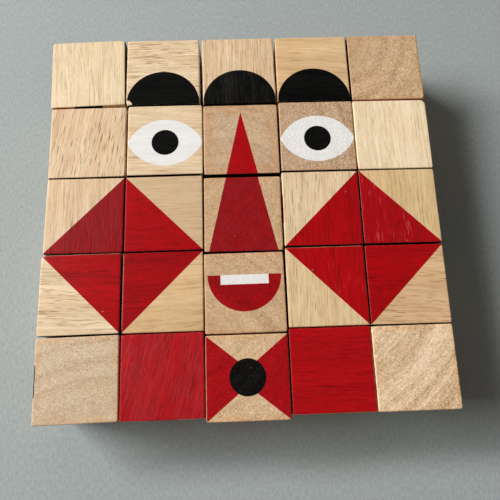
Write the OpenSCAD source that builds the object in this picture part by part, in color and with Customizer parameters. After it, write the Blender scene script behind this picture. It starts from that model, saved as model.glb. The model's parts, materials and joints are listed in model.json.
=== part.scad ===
// Face maker puzzle: loose wooden cubes laid out five by five, each printed on its six faces.
// Millimetres. The set stands on Z = 0 with the middle of its box over the origin.
// +X runs to the right of the picture, +Y to its top and +Z up, out of the picture.

/* [Block] */
// Length of a block's side
block_size = 40; // [20:1:80]
// Radius of the sanded edges
edge_r = 0.5; // [0.3:0.1:3]

/* [Layout] */
// Usual gap between neighbours on the table
gap = 0.75; // [0.3:0.05:1]

/* [Hidden] */
// Blocks in a row of the picture
columns = 5;

// The blocks in reading order, named for what their top face shows
NODES = [
    "top_left_block", "left_curl_block", "middle_curl_block", "right_curl_block", "top_right_block",
    "left_temple_block", "left_eye_block", "nose_bridge_block", "right_eye_block", "right_temple_block",
    "left_cheek_top_outer_block", "left_cheek_top_inner_block", "nose_tip_block",
    "right_cheek_top_inner_block", "right_cheek_top_outer_block",
    "left_cheek_low_outer_block", "left_cheek_low_inner_block", "mouth_block",
    "right_cheek_low_inner_block", "right_cheek_low_outer_block",
    "bottom_left_block", "left_bow_block", "bow_knot_block", "right_bow_block", "bottom_right_block"
];

// How each block was pushed by hand off its place in the grid, in the same order and in gaps:
// to the right, towards the top, and how far its sides run out of line
PUSH = [
    [-1.25, 0.25, 1.5], [-1, 0.25, 0], [0.25, 0.25, 0.5], [0.5, 0.25, 0], [0.5, 0.25, 0],
    [0.5, -0.25, 0.25], [0.75, 0.25, 0], [0.5, -0.75, 0], [0.75, 0.5, -0.25], [0.5, 0.25, -0.25],
    [0.5, 0, -0.25], [0.25, 0, 0], [0, -2, -0.25], [0.25, 0.5, -0.25], [0, 0.5, -0.25],
    [-0.25, 0.25, 0.25], [0, 0.25, 0], [-0.25, -2, 0.25], [-0.25, 0.5, 0], [-0.5, 0.25, -0.25],
    [0, 0.25, 0.75], [0, 0.5, 0.25], [-0.25, -2, 0], [-0.5, 0.75, 0], [-0.75, 0.5, 0]
];

// Tone of the board that each block was sawn from, in the same order
TONE = [
    "cream", "honey", "tan", "straw", "brown",
    "tan", "straw", "brown", "brown", "cream",
    "tan", "honey", "brown", "honey", "straw",
    "cream", "straw", "brown", "cream", "honey",
    "tan", "cream", "brown", "straw", "tan"
];

rows = len(NODES) / columns;
pitch = block_size + gap;

// Angle at which block i lies, from how far its sides run out of line
function turn(i) = asin(PUSH[i].z * gap / block_size);

// Middle of block i, with the grid's own middle at the origin
function spot(i) = [
    (i % columns - (columns - 1) / 2) * pitch + PUSH[i].x * gap,
    ((rows - 1) / 2 - floor(i / columns)) * pitch + PUSH[i].y * gap
];

// Distance from the middle of block i to the furthest point of its outline along X or Y
function reach(i) = (block_size / 2 - edge_r) * (cos(turn(i)) + abs(sin(turn(i)))) + edge_r;

// Middle of the whole set's outline along one axis, 0 for X and 1 for Y
function middle(axis) = let (
    low = min([for (i = [0:len(NODES) - 1]) spot(i)[axis] - reach(i)]),
    high = max([for (i = [0:len(NODES) - 1]) spot(i)[axis] + reach(i)])
) (low + high) / 2;

// Colour of the bare wood of a tone
function wood(tone) =
    tone == "cream" ? "#E6CFA3" :
    tone == "straw" ? "#DBBC85" :
    tone == "honey" ? "#D5B07C" :
    tone == "tan" ? "#CFAD80" : "#C29B70";

// Outline of a block seen square on, with its rounded corners
module block_outline() {
    straight = block_size - 2 * edge_r;
    square([block_size, straight], center = true);
    square([straight, block_size], center = true);
    for (x = [-straight / 2, straight / 2])
        for (y = [-straight / 2, straight / 2])
            translate([x, y]) circle(r = edge_r, $fn = 48);
}

// Solid cube with all twelve edges sanded round, standing on Z = 0
module wooden_block(tone) {
    color(wood(tone))
        translate([0, 0, block_size / 2])
            intersection() {
                linear_extrude(block_size, center = true) block_outline();
                rotate([90, 0, 0]) linear_extrude(block_size, center = true) block_outline();
                rotate([0, 90, 0]) linear_extrude(block_size, center = true) block_outline();
            }
}

// The set: every block at its place
for (i = [0:len(NODES) - 1])
    translate([spot(i).x - middle(0), spot(i).y - middle(1), 0])
            rotate(turn(i))
                wooden_block(TONE[i]);
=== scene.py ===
"""Looks of a face maker puzzle: loose rubberwood cubes, printed on six faces, laid out as a picture."""

import json
import math
import random
from functools import partial

import bmesh
import bpy
from mathutils import Matrix, Quaternion, Vector, noise
from mathutils.geometry import delaunay_2d_cdt


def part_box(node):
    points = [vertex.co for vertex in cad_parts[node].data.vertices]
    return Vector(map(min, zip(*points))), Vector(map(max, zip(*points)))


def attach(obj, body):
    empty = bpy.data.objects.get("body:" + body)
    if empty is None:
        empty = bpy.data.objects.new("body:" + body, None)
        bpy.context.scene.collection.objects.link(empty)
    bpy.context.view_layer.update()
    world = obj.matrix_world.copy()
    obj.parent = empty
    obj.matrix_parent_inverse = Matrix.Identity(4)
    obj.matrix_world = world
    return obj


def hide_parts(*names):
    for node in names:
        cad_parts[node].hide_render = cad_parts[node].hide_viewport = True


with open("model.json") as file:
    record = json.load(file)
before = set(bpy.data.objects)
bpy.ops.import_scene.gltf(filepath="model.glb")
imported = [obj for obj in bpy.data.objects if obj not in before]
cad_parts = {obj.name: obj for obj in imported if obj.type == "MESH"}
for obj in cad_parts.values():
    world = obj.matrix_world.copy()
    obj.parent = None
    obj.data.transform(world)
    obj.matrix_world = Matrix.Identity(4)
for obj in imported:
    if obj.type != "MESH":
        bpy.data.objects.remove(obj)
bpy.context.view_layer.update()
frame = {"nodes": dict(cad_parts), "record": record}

MM = 0.001
UP = Vector((0, 0, 1))


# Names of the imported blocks, and their sizes in mm

NODES = [row["node"] for row in frame["record"]["subparts"]]
COLUMNS = 5
ROWS = len(NODES) // COLUMNS

# The least upward share in the normal of a level face, and the most in that of an upright one
LEVEL = 0.999
UPRIGHT = 0.01

SIDE = (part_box(NODES[0])[1].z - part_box(NODES[0])[0].z) / MM
TOP_AREA = sum(p.area for p in frame["nodes"][NODES[0]].data.polygons if p.normal.z > LEVEL) / MM ** 2

# Half a side, half the flat part of a face, and the radius of the rounded edges
HALF = SIDE / 2
FLAT = math.sqrt(TOP_AREA) / 2
EDGE_R = HALF - FLAT


def middle_of(node):
    """Middle of a block at rest, in mm."""
    low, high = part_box(node)
    return (low + high) / 2 / MM


def turn_of(node):
    """Angle at which a block lies on the table, from the broadest of its upright faces."""
    mesh = frame["nodes"][node].data
    upright = [p for p in mesh.polygons if abs(p.normal.z) < UPRIGHT]
    normal = max(upright, key=lambda p: p.area).normal
    quarter = math.pi / 2
    return (math.atan2(normal.y, normal.x) + quarter / 2) % quarter - quarter / 2


# Outlines of the printed shapes, in mm on one face, or in blocks on the whole picture

def arc(middle, radius, start, end, steps=40):
    """Points of an arc in degrees, anticlockwise."""
    angles = [math.radians(start + (end - start) * i / steps) for i in range(steps + 1)]
    return [(middle[0] + radius * math.cos(a), middle[1] + radius * math.sin(a)) for a in angles]


def disc(middle, radius):
    """Points of a whole circle."""
    return arc(middle, radius, 0, 360, 64)[:-1]


def bar(middle, width, height):
    """Corners of an upright rectangle."""
    x, y = middle
    return [(x - width / 2, y - height / 2), (x + width / 2, y - height / 2),
            (x + width / 2, y + height / 2), (x - width / 2, y + height / 2)]


def almond(middle, width, height):
    """Outline of an open eye: two equal arcs that meet in points."""
    x, y = middle
    radius = (width * width + height * height) / (4 * height)
    swing = math.degrees(math.asin(width / 2 / radius))
    upper = arc((x, y + height / 2 - radius), radius, 90 - swing, 90 + swing)
    lower = arc((x, y - height / 2 + radius), radius, 270 - swing, 270 + swing)
    return upper + lower[1:-1]


def picture():
    """Shapes of the face on the tops, in paint order: ink and outline, in blocks from the lower left."""
    shapes = []
    for x in (1.5, 2.5, 3.5):
        curl = arc((x, 4), 0.5, 0, 180)
        shapes.append(("black", curl))
    eye_level = 3.46
    for x in (1.5, 3.5):
        shapes.append(("white", almond((x, eye_level), 1.0, 0.66)))
        shapes.append(("black", disc((x, eye_level), 0.18)))
    nose = [(2.06, 2), (2.94, 2), (2.5, 3.9)]
    shapes.append(("red", nose))
    for x in (1, 4):
        cheek = [(x - 1, 2), (x, 1), (x + 1, 2), (x, 3)]
        shapes.append(("red", cheek))
    mouth = arc((2.5, 1.72), 0.46, 180, 360)
    teeth = bar((2.5, 1.66), 0.6, 0.12)
    shapes += [("red", mouth), ("white", teeth)]
    bows = [bar((1.5, 0.5), 1, 1), bar((3.5, 0.5), 1, 1)]
    ribbons = [[(2, 0), (2.5, 0.4), (2.5, 0.6), (2, 1)], [(3, 1), (2.5, 0.6), (2.5, 0.4), (3, 0)]]
    shapes += [("red", outline) for outline in bows + ribbons]
    knot = disc((2.5, 0.5), 0.22)
    shapes.append(("black", knot))
    return shapes


PICTURE = picture()
INKS = ["red", "black", "white"]

# Shapes that the other five faces take turns at, the first of them bare
SPARE_SHAPES = [
    [],
    arc((0, -HALF), HALF, 0, 180),
    disc((0, 0), 0.275 * SIDE),
    bar((0, 0), SIDE, SIDE),
    [(-HALF, -HALF), (HALF, -HALF), (-HALF, HALF)],
    bar((0, 0), 0.375 * SIDE, SIDE),
    arc((-HALF, -HALF), SIDE, 0, 90) + [(-HALF, -HALF)],
]

# Inks that they take turns at: front, right, back, left and bottom
# The fronts lean to black: painted shade for the gaps between rows
SPARE_INKS = [
    ["black", "black", "black", "black", "black", "red", "red", "black", "white"],
    ["black", "white", "red"],
    ["black", "red"],
    ["black", "black", "red"],
    ["white", "red", "black"],
]

# Blocks whose front is printed black all over: painted shade, so that the gap in front of each looks dark
BLACK_FRONTS_AS_GAP_SHADE = ["middle_curl_block", "nose_bridge_block", "left_cheek_top_inner_block",
                "right_cheek_top_inner_block", "right_cheek_top_outer_block"]

# Marks on the top faces: ink of a side face that ran over the edge, and a corner that lost its ink
TOP_MARKS = {
    "bottom_left_block": ("black", bar((0.3 - HALF, 0), 0.6, 0.375 * SIDE)),
    "left_curl_block": (None, [(-HALF, -HALF), (3.2 - HALF, -HALF), (3.1 - HALF, 1.2 - HALF),
                               (1.9 - HALF, 2.6 - HALF), (-HALF, 2.9 - HALF)]),
}

# Directions to the right, upwards and outwards on each face: top, front, right, back, left and bottom
FACES = [
    (Vector((1, 0, 0)), Vector((0, 1, 0)), Vector((0, 0, 1))),
    (Vector((1, 0, 0)), Vector((0, 0, 1)), Vector((0, -1, 0))),
    (Vector((0, 1, 0)), Vector((0, 0, 1)), Vector((1, 0, 0))),
    (Vector((-1, 0, 0)), Vector((0, 0, 1)), Vector((0, 1, 0))),
    (Vector((0, -1, 0)), Vector((0, 0, 1)), Vector((-1, 0, 0))),
    (Vector((1, 0, 0)), Vector((0, -1, 0)), Vector((0, 0, -1))),
]
TOP, FRONT = 0, 1


def top_print(index):
    """The part of the picture that falls on one block's top face."""
    row, column = divmod(index, COLUMNS)
    x0, y0 = column + 0.5, ROWS - row - 0.5
    shapes = [(ink, [((x - x0) * SIDE, (y - y0) * SIDE) for x, y in outline]) for ink, outline in PICTURE]
    if NODES[index] in TOP_MARKS:
        shapes.append(TOP_MARKS[NODES[index]])
    return shapes


def spare_print(index, face):
    """The print of one of the other five faces of a block."""
    # painted shade: a black front darkens the gap in front of the block
    if face == FRONT and NODES[index] in BLACK_FRONTS_AS_GAP_SHADE:
        return [("black", bar((0, 0), SIDE, SIDE))]
    row, column = divmod(index, COLUMNS)

    # the steps through the shapes, the quarter turns and the inks differ, so that neighbours do too
    # they are also set so that faces seen down the gaps mostly show dark ink: painted shade there
    outline = SPARE_SHAPES[(index + 5 * face) % len(SPARE_SHAPES)]
    for _ in range((2 * index + 3 * row) % 4):
        outline = [(-y, x) for x, y in outline]
    inks = SPARE_INKS[face - 1]
    return [(inks[(row + column) % len(inks)], outline)]


def clipped(outline, limit):
    """An outline cut to the square from -limit to limit."""
    for axis, sign in ((0, 1), (0, -1), (1, 1), (1, -1)):
        kept = []
        for i, here in enumerate(outline):
            before = outline[i - 1]
            inside, was_inside = sign * here[axis] <= limit, sign * before[axis] <= limit
            if inside != was_inside:
                t = (sign * limit - before[axis]) / (here[axis] - before[axis])
                kept.append(tuple(b + (h - b) * t for b, h in zip(before, here)))
            if inside:
                kept.append(here)
        outline = kept
    return outline


# Mesh of one block, in mm around its own middle

# Half the square that prints may fill, so that no outline lies right on the cube's edge
PRINTED = HALF - 0.01

# Distance within which points are one: while a face is cut, and where the six faces join
CLOSEST = 1e-4
MERGED = 1e-3

# Sanding: where it begins short of an edge, its depth there, and how far apart its ups and downs are
SANDED_FROM = 0.5
SANDED = 0.06
SANDED_EVERY = 3.5

# Knocks: how deep the usual ones are, how far each reaches, and from what depth on it rubs ink off
SMALL_KNOCKS = (0.05, 0.3)
KNOCK_REACH = 3
RUBS_FROM = 0.2

# Corners that took a larger knock, and its depth
CHIPS = {
    "left_curl_block": [((-1, -1, 1), 0.8)],
    "right_temple_block": [((1, 1, 1), 0.9)],
    "left_cheek_low_outer_block": [((-1, 1, 1), 0.7)],
}

# Length of trunk that the blocks come from, in mm, and the seed of the first block's random draws
TRUNK = 4000
FIRST_SEED = 100


def grid_lines():
    """Where a face is cut into a grid: closely over its rounded edges and wider over its flat middle."""
    rounded = [FLAT + EDGE_R * math.tan(math.radians(angle)) for angle in (0, 15, 30, 45)]
    near = [FLAT - inwards for inwards in (0.5, 1.5, 3)]
    middle = [0, 4, 8, 12]
    half = sorted(set(rounded + near + middle))
    return [-v for v in reversed(half[1:])] + half


LINES = grid_lines()


def cut_face(shapes):
    """One face as flat triangles: points in mm, and for each triangle its corners and its ink, or None.

    A shape without an ink leaves bare wood in the ones before it.
    """
    points, edges, outlines, inks = [], [], [], []
    for v in LINES:
        for a, b in (((v, -HALF), (v, HALF)), ((-HALF, v), (HALF, v))):
            edges.append((len(points), len(points) + 1))
            points += [Vector(a), Vector(b)]
    for ink, outline in shapes:
        outline = clipped(outline, PRINTED)
        if len(outline) < 3:
            continue
        outlines.append(list(range(len(points), len(points) + len(outline))))
        points += [Vector(p) for p in outline]
        inks.append(ink)

    # the triangles cover the whole face, and each knows the shapes that it lies in
    whole_face = 0
    found = delaunay_2d_cdt(points, edges, outlines, whole_face, CLOSEST, True)
    points, corners, shapes_over = found[0], found[2], found[5]
    return points, [(c, inks[max(over)] if over else None) for c, over in zip(corners, shapes_over)]


def core_of(p):
    """Nearest point of the cube that is left when a block's rounded edges are taken off all round."""
    return Vector([min(max(c, -FLAT), FLAT) for c in p])


def onto_block(flat_point, right, upward, outward):
    """A point of the unrolled face, laid on the cube with rounded edges."""
    p = right * flat_point.x + upward * flat_point.y + outward * HALF
    core = core_of(p)
    return core + (p - core).normalized() * EDGE_R


def printed_cube(index):
    """A block before it was sanded and used, with its prints cut into its six faces."""
    bm = bmesh.new()
    for face, (right, upward, outward) in enumerate(FACES):
        shapes = top_print(index) if face == TOP else spare_print(index, face)
        points, triangles = cut_face(shapes)
        verts = [bm.verts.new(onto_block(p, right, upward, outward)) for p in points]
        for triangle, ink in triangles:
            made = bm.faces.new([verts[i] for i in triangle])
            made.material_index = 1 + INKS.index(ink) if ink else 0
            made.smooth = True
    bmesh.ops.remove_doubles(bm, verts=bm.verts, dist=MERGED)
    bmesh.ops.join_triangles(bm, faces=bm.faces, cmp_materials=True, angle_face_threshold=0.02,
                             angle_shape_threshold=0.6)
    bmesh.ops.recalc_face_normals(bm, faces=bm.faces)
    return bm


def knocked_corners(node, rng):
    """Corners of a block, and how deep a knock each took."""
    corners = []
    for x in (-1, 1):
        for y in (-1, 1):
            for z in (-1, 1):
                corners.append((Vector((x, y, z)) * HALF, rng.uniform(*SMALL_KNOCKS)))
    return corners + [(Vector(corner) * HALF, chip) for corner, chip in CHIPS.get(node, [])]


def second_largest(p):
    """How far a point lies from the middle of its face towards the nearest edge."""
    return sorted(abs(c) for c in p)[1]


def removed(p, seed, corners):
    """Depth by which sanding and knocks took a point of the block back: most at edges and corners."""
    edge = min(second_largest(p) - FLAT + SANDED_FROM, 1)
    if edge <= 0:
        return 0

    # each block has a part of the noise to itself
    elsewhere = Vector((seed * 7.3, seed * 3.1, 0))
    depth = edge * (SANDED + SANDED * noise.noise(p / SANDED_EVERY + elsewhere))
    for corner, chip in corners:
        away = (p - corner).length / KNOCK_REACH
        depth += chip * max(1 - away, 0) ** 2
    return depth


def block_mesh(index):
    """The block's mesh in its own place, with the attributes that its wood and inks read."""
    node = NODES[index]
    wood = BOARDS[node]
    rng = random.Random(FIRST_SEED + index)
    corners = knocked_corners(node, rng)
    bm = printed_cube(index)
    grain = bm.verts.layers.float_vector.new("grain")
    figure = bm.verts.layers.float_vector.new("figure")
    film = bm.verts.layers.float_vector.new("film")
    tone = bm.verts.layers.float_color.new("tone")
    end_share = bm.verts.layers.float.new("end")
    edge = bm.verts.layers.float.new("edge")
    rim = bm.verts.layers.float.new("rim")
    along, radial, tangent = grain_axes(wood)
    height = wood["cut"] or rng.uniform(0, TRUNK)
    end_on_top = abs(along.z)
    for v in bm.verts:
        p = v.co.copy()
        out = (p - core_of(p)).normalized()
        end = abs(out.dot(along)) ** 2
        shade = 1 - END_GRAIN_DARKER * (end - end_on_top)
        x, y = wood["heart"] + p.dot(radial), p.dot(tangent)
        v[grain] = Vector((math.hypot(x, y), math.atan2(y, x) * wood["heart"], p.dot(along) + height))
        v[figure] = Vector((wood["pores"], wood["fine"], wood["broad"]))
        v[film] = Vector((wood["ink"], wood["thin"], wood["haze"]))
        v[end_share] = end
        v[rim] = wood["rim"]
        v[tone] = (*(c * shade for c in linear(TONES[wood["tone"]])), 1)

        # how far in from the rounded edge a point lies, and less where a deep knock rubs its ink off
        lost = removed(p, index + 1, corners)
        v[edge] = FLAT - second_largest(p) - max(lost - RUBS_FROM, 0) * 2
        v.co = p - p.normalized() * lost
    place = Matrix.Translation(middle_of(node)) @ Matrix.Rotation(turn_of(node), 4, UP)
    bmesh.ops.transform(bm, matrix=Matrix.Scale(MM, 4) @ place, verts=bm.verts)
    mesh = bpy.data.meshes.new(node + "_printed")
    bm.to_mesh(mesh)
    bm.free()
    return mesh


# Boards that the blocks were sawn from

# Colour of the bare wood of each tone on a top face, and how much darker sawn end grain is
TONES = {
    "ivory": "FCE7C3",
    "cream": "F1DBB6",
    "pale": "EAD1AD",
    "wheat": "E9CDA2",
    "straw": "E6C999",
    "tan": "E6C9A5",
    "honey": "E5C096",
    "amber": "E1BF91",
    "rosy": "DBBB95",
    "biscuit": "D6B993",
    "sallow": "D3BB9D",
    "brown": "CFAE89",
    "fawn": "CBAE8E",
    "umber": "C5A787",
}
END_GRAIN_DARKER = 0.16


def board(tone, grain, slant, rings, pores=0.4, fine=1.0, broad=1.0, heart=80, cut=None, rim=0,
          ink=1.0, thin=0.0, haze=0.0):
    """A board that a block was sawn from.

    First its tone, the way its grain runs on the top face, how many degrees it slants there, and the angle of
    its growth rings on the sawn end. Then how strong its pores, its fine figure and its broad bands are, how
    many mm off its heart lay, how many mm up the trunk it was cut, if it matters, and how many mm wider than
    usual its orange border is. Last how bright its dark inks came out, how thin they lie over the pores, and
    the haze of its inks.
    """
    return dict(tone=tone, grain=grain, slant=slant, rings=rings, pores=pores, fine=fine, broad=broad,
                heart=heart, cut=cut, rim=rim, ink=ink, thin=thin, haze=haze)


BOARDS = {
    "top_left_block": board("cream", "up", 1, 20, pores=0.35, broad=0.3),
    "left_curl_block": board("pale", "across", 2, 60, pores=0.9, fine=1.5),
    "middle_curl_block": board("tan", "up", 0, 15, pores=0.3, fine=1.4, haze=0.1),
    "right_curl_block": board("amber", "across", -3, 65, pores=0.1, fine=0.9, broad=2.2),
    "top_right_block": board("brown", "end", 0, -35, pores=0.1, fine=1.3, heart=32),
    "left_temple_block": board("tan", "up", -8, 50, pores=1.0, fine=1.2, broad=1.4),
    "left_eye_block": board("pale", "across", -2, 30, pores=0.15),
    "nose_bridge_block": board("fawn", "end", 0, 75, pores=0.5, fine=0.9, broad=0.9, heart=40, rim=3),
    "right_eye_block": board("umber", "end", 0, 10, pores=0.6, fine=1.5, broad=0.9),
    "right_temple_block": board("ivory", "up", 2, 20, pores=0.25, fine=0.9, broad=1.5),
    "left_cheek_top_outer_block": board("tan", "up", 1, 40, pores=0.3, ink=0.74, haze=0.1),
    "left_cheek_top_inner_block": board("biscuit", "across", 0, 80, pores=0.2, fine=0.7),
    "nose_tip_block": board("brown", "end", 0, -45, pores=0.3, ink=0.74, haze=0.1),
    "right_cheek_top_inner_block": board("pale", "up", -2, 50, pores=0.7),
    "right_cheek_top_outer_block": board("straw", "up", 0, 10, pores=0.6, thin=3.2, haze=0.02),
    "left_cheek_low_outer_block": board("pale", "across", -4, 50, pores=0.7, fine=1.1, broad=1.8),
    "left_cheek_low_inner_block": board("amber", "across", 3, 40, pores=0.3, fine=0.9, broad=1.8, ink=0.88),
    "mouth_block": board("brown", "end", 0, 50, pores=0.3, ink=0.82, haze=0.03),
    "right_cheek_low_inner_block": board("wheat", "up", -2, 50, ink=1.08, thin=0.6),
    "right_cheek_low_outer_block": board("honey", "across", -3, 55, pores=0.7, broad=1.8),
    "bottom_left_block": board("sallow", "end", 0, 100, fine=0.9),
    "left_bow_block": board("pale", "up", -14, 25, pores=1.0, fine=1.2, ink=1.07, haze=0.13),
    "bow_knot_block": board("rosy", "end", 0, -50, fine=1.1, ink=0.95, haze=0.03),
    "right_bow_block": board("straw", "across", -2, 50, fine=0.85, ink=1.08, haze=0.02),
    "bottom_right_block": board("tan", "end", 0, -45, pores=0.2, fine=1.3, broad=2.3, cut=3300),
}


def grain_axes(wood):
    """Directions along the grain, out from the heart of the tree and along its rings, in the block's axes."""
    if wood["grain"] == "end":
        along, across, through = UP, Vector((1, 0, 0)), Vector((0, 1, 0))
    else:
        lean = math.radians(wood["slant"] + (90 if wood["grain"] == "up" else 0))
        along = Vector((math.cos(lean), math.sin(lean), 0))
        across, through = Vector((-math.sin(lean), math.cos(lean), 0)), UP
    angle = math.radians(wood["rings"])
    radial = across * math.cos(angle) + through * math.sin(angle)
    tangent = through * math.cos(angle) - across * math.sin(angle)
    return along, radial, tangent


# Materials

def linear(hex_colour):
    """Linear red, green and blue of an sRGB hex colour."""
    values = [int(hex_colour[i:i + 2], 16) / 255 for i in (0, 2, 4)]
    return [v / 12.92 if v <= 0.04045 else ((v + 0.055) / 1.055) ** 2.4 for v in values]


def add(tree, kind, inputs=(), **settings):
    """Adds a shader node with its settings, and with inputs that are values or other nodes' outputs."""
    node = tree.nodes.new("ShaderNode" + kind)
    for name, value in settings.items():
        setattr(node, name, value)
    for name, value in inputs.items() if isinstance(inputs, dict) else enumerate(inputs):
        if isinstance(value, bpy.types.NodeSocket):
            tree.links.new(value, node.inputs[name])
        else:
            node.inputs[name].default_value = value
    return node.outputs


def empty_material(name):
    """A material with nothing in it yet, and the function that adds a node to it."""
    material = bpy.data.materials.new(name)
    material.use_nodes = True
    material.node_tree.nodes.clear()
    return material, partial(add, material.node_tree)


# Sockets of a Mix node for colours: the share of the second one, the first, the second and the outcome
SHARE, FIRST, SECOND, MIXED = 0, 6, 7, 2

# Each pattern of the wood: whether a board's fine or broad figure scales it, its mm across the growth rings,
# along them and up the trunk, its detail, the part of its noise that shows and how dark and light that is,
# and its share on the long grain and on the end grain. Fine ones are drawn a few times coarser than in
# the real wood, so that they show.
FIGURE = {
    "bands": ("broad", (5, 300, 600), 2, (0.3, 0.7), (-1, 1), 0.08, 0.15),
    "mottle": ("fine", (6, 6, 16), 2, (0.3, 0.7), (-1, 1), 0.05, 0.06),
    "streaks": ("fine", (0.9, 0.9, 26), 4, (0.3, 0.7), (-1, 1), 0.15, 0.04),
    "threads": ("fine", (0.7, 0.7, 14), 1, (0.32, 0.42), (-1, 0), 0.26, 0.04),
    "lines": ("fine", (0.55, 2.2, 70), 2, (0.3, 0.7), (-1, 1), 0.04, 0.19),
    "rays": ("fine", (1.8, 0.45, 1.8), 1, (0.3, 0.7), (-1, 1), 0.05, 0.1),
    "sparks": ("fine", (0.6, 0.7, 20), 0, (0.56, 0.68), (0, 1), 0.03, 0.17),
}

# How far the wood's red, green and blue follow its figure: what is darker is browner too
BROWNER = (0.8, 1.0, 1.3)

# Share of red, green and blue that an orange patch leaves, and the colour of the pores
ORANGE = (1.0, 0.87, 0.75, 1)
PORE_BROWN = "876847"


def out_of_round(new, grain):
    """The place in the tree, with growth rings that run 2 mm in and out over some 20 mm."""
    slow = new("VectorMath", [grain, (1 / 20, 1 / 20, 1 / 90)], operation="MULTIPLY")[0]
    wave = new("TexNoise", {"Vector": slow, "Scale": 1, "Detail": 2})["Fac"]
    wave = new("MapRange", {"Value": wave, "To Min": -2, "To Max": 2})[0]
    return new("VectorMath", [grain, new("CombineXYZ", [wave])[0]], operation="ADD")[0]


def figure_of(new, grain, end):
    """How much lighter or darker the fine and the broad figure make each spot."""
    light = {"fine": 0, "broad": 0}
    for name, (group, size, detail, shown, level, on_long, on_end) in FIGURE.items():
        place = new("VectorMath", [grain, [1 / mm for mm in size]], operation="MULTIPLY")[0]
        cloud = new("TexNoise", {"Vector": place, "Scale": 1, "Detail": detail, "Roughness": 0.65})["Fac"]
        figured = new("MapRange", {"Value": cloud, "From Min": shown[0], "From Max": shown[1],
                                   "To Min": level[0], "To Max": level[1]})[0]
        share = new("MapRange", {"Value": end, "To Min": on_long, "To Max": on_end})[0]
        light[group] = new("Math", [figured, share, light[group]], operation="MULTIPLY_ADD")[0]
        if name == "bands":
            # a thin dark line here and there along the rings
            off = new("Math", [new("Math", [cloud, 0.6], operation="SUBTRACT")[0]], operation="ABSOLUTE")[0]
            line = new("MapRange", {"Value": off, "From Min": 0.012, "From Max": 0, "To Max": -0.3})[0]
            light[group] = new("Math", [line, share, light[group]], operation="MULTIPLY_ADD")[0]
    return light["fine"], light["broad"]


def with_sand(new, grain, on_end, fine):
    """The fine figure with sand: cells 0.6 mm wide, some pale and some dark, strongest on the end grain."""
    place = new("VectorMath", [grain, (1 / 0.6, 1 / 0.8, 1 / 20)], operation="MULTIPLY")[0]
    cells = new("TexVoronoi", {"Vector": place, "Scale": 1})
    kind = new("SeparateColor", [cells["Color"]])[0]
    kind = new("MapRange", {"Value": kind, "To Min": -0.46, "To Max": 0.44})[0]
    dot = new("MapRange", {"Value": cells["Distance"], "From Min": 0.5, "From Max": 0.2})[0]
    dot = new("Math", [dot, on_end], operation="MULTIPLY")[0]
    return new("Math", [dot, kind, fine], operation="MULTIPLY_ADD")[0]


def open_pores(new, grain):
    """Pores: dots on the end grain, dashes 2 to 5 mm long on the long grain, drawn 0.3 mm wide to show."""
    place = new("VectorMath", [grain, (1 / 0.65, 1 / 0.65, 1 / 12)], operation="MULTIPLY")[0]
    near = new("TexVoronoi", {"Vector": place, "Scale": 1})["Distance"]
    pore = new("MapRange", {"Value": near, "From Min": 0.26, "From Max": 0.16})[0]

    # they crowd in clouds 6 mm wide
    place = new("VectorMath", [grain, (1 / 6, 1 / 6, 1 / 20)], operation="MULTIPLY")[0]
    crowd = new("TexNoise", {"Vector": place, "Scale": 1, "Detail": 1})["Fac"]
    crowd = new("MapRange", {"Value": crowd, "From Min": 0.3, "From Max": 0.55})[0]
    return new("Math", [pore, crowd], operation="MULTIPLY")[0]


def blush_of(new, grain, on_end):
    """How orange each spot is: in patches 9 mm wide, and along the sawn edges of the end grain."""
    edge = new("Attribute", attribute_name="edge")["Fac"]
    rim = new("Attribute", attribute_name="rim")["Fac"]
    place = new("VectorMath", [grain, (1 / 9, 1 / 9, 1 / 25)], operation="MULTIPLY")[0]
    patch = new("TexNoise", {"Vector": place, "Scale": 1, "Detail": 3})["Fac"]

    # the border's width in mm wanders with the patches
    spread = new("Math", [patch, 9, edge], operation="MULTIPLY_ADD")[0]
    spread = new("Math", [spread, rim], operation="SUBTRACT")[0]
    border = new("MapRange", {"Value": spread, "From Min": 8.0, "From Max": 4.0})[0]
    border = new("Math", [border, on_end], operation="MULTIPLY")[0]
    patch = new("MapRange", {"Value": patch, "From Min": 0.4, "From Max": 0.65, "To Min": 0.12,
                             "To Max": 0.45})[0]
    return new("Math", [border, patch], operation="MAXIMUM")[0]


def rubberwood(new):
    """Rubberwood, sawn and sanded: pale, straight grain, with short dark pores and faint growth bands.

    Gives its colour, how much lighter or darker the figure makes each spot, its pores, and how far they show.
    """
    grain = out_of_round(new, new("Attribute", attribute_name="grain")["Vector"])
    tone = new("Attribute", attribute_name="tone")["Color"]
    end = new("Attribute", attribute_name="end")["Fac"]
    figure = new("Attribute", attribute_name="figure")["Vector"]
    pore_share, fine_share, broad_share = new("SeparateXYZ", [figure])

    # what belongs to the end grain shows faintly on the long grain too
    on_end = new("MapRange", {"Value": end, "To Min": 0.3, "To Max": 1})[0]
    fine, broad = figure_of(new, grain, end)
    fine = with_sand(new, grain, on_end, fine)
    broad = new("Math", [broad, broad_share], operation="MULTIPLY")[0]
    light = new("Math", [fine, fine_share, broad], operation="MULTIPLY_ADD")[0]
    pore = open_pores(new, grain)
    pores = new("Math", [pore, pore_share], operation="MULTIPLY")[0]

    hue = new("VectorMath", {0: BROWNER, "Scale": light}, operation="SCALE")[0]
    hue = new("VectorMath", [hue, (1, 1, 1)], operation="ADD")[0]
    colour = new("VectorMath", [tone, hue], operation="MULTIPLY")[0]
    for share, tint in ((blush_of(new, grain, on_end), ORANGE), (pores, (*linear(PORE_BROWN), 1))):
        colour = new("Mix", {SHARE: share, FIRST: colour, SECOND: tint}, data_type="RGBA",
                     blend_type="MULTIPLY")[MIXED]
    return colour, light, pore, pores


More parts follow.
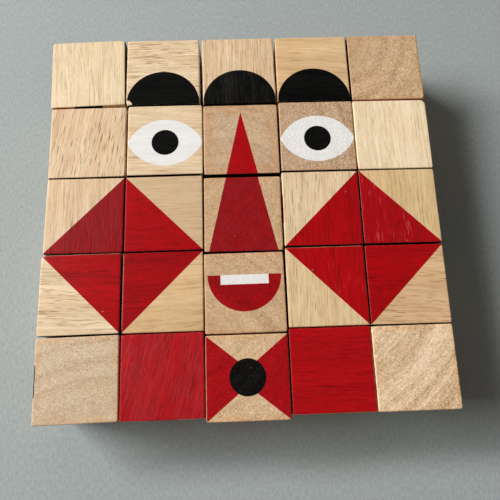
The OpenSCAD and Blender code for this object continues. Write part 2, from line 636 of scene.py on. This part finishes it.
def finished(new, colour, roughness, light, pores, gloss):
    """Joins a colour and its relief to a satin surface: the figure stands up a little and pores are open."""
    relief = new("Math", [pores, -0.7, light], operation="MULTIPLY_ADD")[0]
    bump = new("Bump", {"Strength": 0.5, "Distance": 0.15 * MM, "Height": relief})[0]
    surface = new("BsdfPrincipled", {"Base Color": colour, "Roughness": roughness, "Normal": bump,
                                     "IOR": 1.5, "Specular IOR Level": gloss})[0]
    new("OutputMaterial", {"Surface": surface})


def lacquered_rubberwood():
    """Rubberwood sanded fine and brushed with thin matt lacquer: a low, even sheen over open pores."""
    material, new = empty_material("sanded_rubberwood")
    colour, light, _, pores = rubberwood(new)
    roughness = new("MapRange", {"Value": pores, "To Min": 0.5, "To Max": 0.7})[0]
    finished(new, colour, roughness, light, pores, gloss=0.3)
    return material


def flecks_of(new, place):
    """Flecks of an ink, from dark to light: 0.6 mm wide and drawn out to 4 mm along the grain."""
    small = new("VectorMath", [place, (1 / 0.6, 1 / 0.6, 1 / 4)], operation="MULTIPLY")[0]
    fleck = new("TexNoise", {"Vector": small, "Scale": 1, "Detail": 1})["Fac"]
    return new("MapRange", {"Value": fleck, "From Min": 0.3, "From Max": 0.7, "To Min": -1, "To Max": 1})[0]


def haze_of(new, place):
    """How far more or less than usual an ink turns to its haze colour, in patches 5 to 12 mm wide."""
    wide = new("VectorMath", [place, (1 / 7, 1 / 5, 1 / 12)], operation="MULTIPLY")[0]
    cloud = new("TexNoise", {"Vector": wide, "Scale": 1, "Detail": 3})["Fac"]
    return new("MapRange", {"Value": cloud, "From Min": 0.3, "From Max": 0.7, "To Min": 0.5,
                            "To Max": 1.5})[0]


def pinholes_of(new, place):
    """A pinhole 0.4 mm wide here and there."""
    fine = new("VectorMath", [place, (1 / 2, 1 / 2, 1 / 4)], operation="MULTIPLY")[0]
    cells = new("TexVoronoi", {"Vector": fine, "Scale": 1})
    rare = new("SeparateColor", [cells["Color"]])[0]
    rare = new("MapRange", {"Value": rare, "From Min": 0.985, "From Max": 0.99, "To Max": 0.35})[0]
    pinhole = new("MapRange", {"Value": cells["Distance"], "From Min": 0.14, "From Max": 0.08})[0]
    return new("Math", [pinhole, rare], operation="MULTIPLY")[0]


def rubbed_edge(new, place):
    """Where the sanded edge is rubbed bare, in places some mm long."""
    edge = new("Attribute", attribute_name="edge")["Fac"]
    rough = new("VectorMath", [place, (1 / 2.5, 1 / 2.5, 1 / 5)], operation="MULTIPLY")[0]
    rub = new("TexNoise", {"Vector": rough, "Scale": 1, "Detail": 2})["Fac"]
    rub = new("Math", [rub, 0.5 * EDGE_R, edge], operation="MULTIPLY_ADD")[0]
    return new("MapRange", {"Value": rub, "From Min": -0.5 * EDGE_R, "From Max": -0.6 * EDGE_R,
                            "To Max": 0.8})[0]


def screen_ink(name, colour, haze, opaque, grain, flecks, sunk, roughness, gloss):
    """Screen ink on sanded rubberwood: a thin satin film that the grain shows through.

    haze is the paler colour it turns to in patches, and opaque is whether it looks the same on every board.
    grain is how far the wood's figure shades the film, flecks how much it varies where it lies thin on raised
    fibres, and sunk how dark its pores are in it.
    """
    material, new = empty_material(name)
    wood, light, pore, pores = rubberwood(new)
    place = new("Attribute", attribute_name="grain")["Vector"]
    film = new("Attribute", attribute_name="film")["Vector"]
    ink_share, thin_share, haze_share = new("SeparateXYZ", [film])

    fleck = flecks_of(new, place)
    shade = new("Math", [light, grain, 1], operation="MULTIPLY_ADD")[0]
    shade = new("Math", [fleck, flecks, shade], operation="MULTIPLY_ADD")[0]
    shade = new("Math", [pores, -sunk, shade], operation="MULTIPLY_ADD")[0]

    # where the ink lies thin over a pore, it is lighter and faded
    thin = new("Math", [pore, thin_share], operation="MULTIPLY")[0]
    thin = new("Math", [thin, 0.3], operation="MULTIPLY")[0]
    shade = new("Math", [shade, thin], operation="ADD")[0]
    if not opaque:
        shade = new("Math", [shade, ink_share], operation="MULTIPLY")[0]
    paler = new("Math", [haze_of(new, place), haze_share, thin], operation="MULTIPLY_ADD")[0]
    ink = new("Mix", {SHARE: paler, FIRST: (*linear(colour), 1), SECOND: (*linear(haze), 1)},
              data_type="RGBA")[MIXED]
    ink = new("VectorMath", {0: ink, "Scale": shade}, operation="SCALE")[0]

    bare = new("Math", [pinholes_of(new, place), rubbed_edge(new, place)], operation="MAXIMUM")[0]
    printed = new("Mix", {SHARE: bare, FIRST: ink, SECOND: wood}, data_type="RGBA")[MIXED]
    relief = new("Math", [fleck, 0.1, light], operation="MULTIPLY_ADD")[0]
    finished(new, printed, roughness, relief, pores, gloss)
    return material


WOOD = lacquered_rubberwood()

# Materials of the inks, in the order of INKS
PRINTS = [
    screen_ink("red_ink_on_rubberwood", "AA060E", "A84A50", opaque=False, grain=0.9, flecks=0.13, sunk=0.3,
               roughness=0.36, gloss=0.13),
    screen_ink("black_ink_on_rubberwood", "080706", "3A3835", opaque=False, grain=5.0, flecks=0.7, sunk=0.0,
               roughness=0.4, gloss=0.06),
    screen_ink("white_ink_on_rubberwood", "F5F2EE", "D8D4CE", opaque=True, grain=0.25, flecks=0.02, sunk=0.3,
               roughness=0.5, gloss=0.2),
]


# The blocks

for index, node in enumerate(NODES):
    block = bpy.data.objects.new(node + "_printed", block_mesh(index))
    bpy.context.scene.collection.objects.link(block)
    for material in [WOOD, *PRINTS]:
        block.data.materials.append(material)
    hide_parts(node)
    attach(block, node)


# Floor, light, room and camera, in metres

FLOOR_RADIUS = 0.9


def paper_floor():
    """A round sheet of pale grey-green card under the set, small enough not to glare under the lamps."""
    mesh = bpy.data.meshes.new("floor")
    outline = [(x, y, 0) for x, y in disc((0, 0), FLOOR_RADIUS)]
    mesh.from_pydata(outline, [], [range(len(outline))])
    floor = bpy.data.objects.new("floor", mesh)
    bpy.context.scene.collection.objects.link(floor)
    material, new = empty_material("grey_green_card")

    # fibres 1.1 mm wide and 2.6 mm long
    place = new("TexCoord")["Object"]
    fine = new("VectorMath", [place, (1 / (1.1 * MM), 1 / (2.6 * MM), 1)], operation="MULTIPLY")[0]
    fibres = new("TexNoise", {"Vector": fine, "Scale": 1, "Detail": 3, "Roughness": 0.6})["Fac"]
    shade = new("MapRange", {"Value": fibres, "From Min": 0.3, "From Max": 0.7, "To Min": 0.87,
                             "To Max": 1.13})[0]
    colour = new("VectorMath", {0: linear("A4ACAB"), "Scale": shade}, operation="SCALE")[0]
    surface = new("BsdfPrincipled", {"Base Color": colour, "Roughness": 0.9})[0]
    new("OutputMaterial", {"Surface": surface})
    mesh.materials.append(material)


def towards(azimuth, elevation, reach):
    """A place that many metres from the set, at an angle round from +X and an angle above the table."""
    a, e = math.radians(azimuth), math.radians(elevation)
    return Vector((math.cos(e) * math.cos(a), math.cos(e) * math.sin(a), math.sin(e))) * reach


def soft_lamp(name, place, length, width, tilt, watts):
    """A long soft box that faces the set, turned by tilt about the line to it."""
    data = bpy.data.lights.new(name, "AREA")
    data.shape = "RECTANGLE"
    data.size = length
    data.size_y = width
    data.energy = watts
    lamp = bpy.data.objects.new(name, data)
    bpy.context.scene.collection.objects.link(lamp)
    lamp.location = place
    facing = (-place).to_track_quat("-Z", "Y")
    lamp.rotation_euler = (facing @ Quaternion((0, 0, 1), math.radians(tilt))).to_euler()


def pale_room():
    """A dim warm room, of which the camera and the gloss see a pale wall."""
    world = bpy.data.worlds.new("studio")
    world.use_nodes = True
    world.node_tree.nodes.clear()
    new = partial(add, world.node_tree)
    rays = new("LightPath")
    seen = rays["Is Camera Ray"]
    for kind in ("Is Glossy Ray", "Is Transmission Ray"):
        seen = new("Math", [seen, rays[kind]], operation="MAXIMUM")[0]
    room = new("Background", {"Color": (1, 0.88, 0.77, 1), "Strength": 0.12})[0]
    wall = new("Background", {"Color": (*linear("C2C7C1"), 1), "Strength": 1.0})[0]
    new("OutputWorld", {"Surface": new("MixShader", [seen, room, wall])[0]})
    bpy.context.scene.world = world


def camera_over_the_picture():
    """Hand-held camera over the lower half of the picture, leaning towards its top."""
    place = Vector((-1.5, -74.5, 271.4)) * MM
    aim = Vector((3.5, -20.6, 40)) * MM
    roll = math.radians(2.05)
    focal_px, frame_px = 470, 500
    look = (aim - place).normalized()
    upright = (Vector((0, 1, 0)) - look * look.y).normalized()
    sideways = look.cross(upright)
    up = upright * math.cos(roll) + sideways * math.sin(roll)
    right = look.cross(up)
    data = bpy.data.cameras.new("camera")
    data.sensor_width = 36
    data.lens = data.sensor_width * focal_px / frame_px
    data.clip_start = 0.01
    camera = bpy.data.objects.new("camera", data)
    bpy.context.scene.collection.objects.link(camera)
    camera.matrix_world = Matrix.Translation(place) @ Matrix((right, up, -look)).transposed().to_4x4()
    bpy.context.scene.camera = camera


paper_floor()
soft_lamp("window", towards(154, 34, 2.6), length=1.4, width=0.45, tilt=-30, watts=69.5)
soft_lamp("second_window", towards(176, 38, 2.0), length=0.6, width=0.6, tilt=0, watts=14.5)
pale_room()
camera_over_the_picture()
bpy.context.scene.view_settings.view_transform = "Standard"
